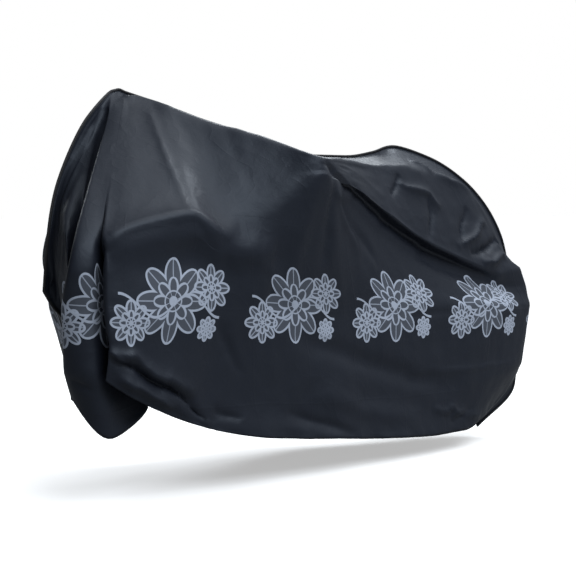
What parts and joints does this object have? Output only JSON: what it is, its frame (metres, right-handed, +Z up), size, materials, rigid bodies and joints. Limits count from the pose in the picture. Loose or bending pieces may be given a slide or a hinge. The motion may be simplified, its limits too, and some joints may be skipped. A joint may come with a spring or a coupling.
{
  "type": "bicycle cover",
  "caption": "Hollow fitted cover of coated cloth, draped over a parked bicycle, with a bound seam along its spine, a hem at its lower edge and an open underside.",
  "frame": {"origin": "underside of the cloth where it lies on the saddle", "axes": "+X from the handlebar towards the rear wheel, +Y towards the bicycle's right side, +Z up"},
  "size_m": [1.8552, 0.637, 1.0928],
  "materials": {
    "coated_cloth": "dark grey coated taffeta, satin",
    "binding_tape": "black woven tape, matt"
  },
  "bodies": {
    "root": {"left_panel": "coated_cloth", "right_panel": "coated_cloth", "spine_binding": "binding_tape"}
  },
  "joints": []
}
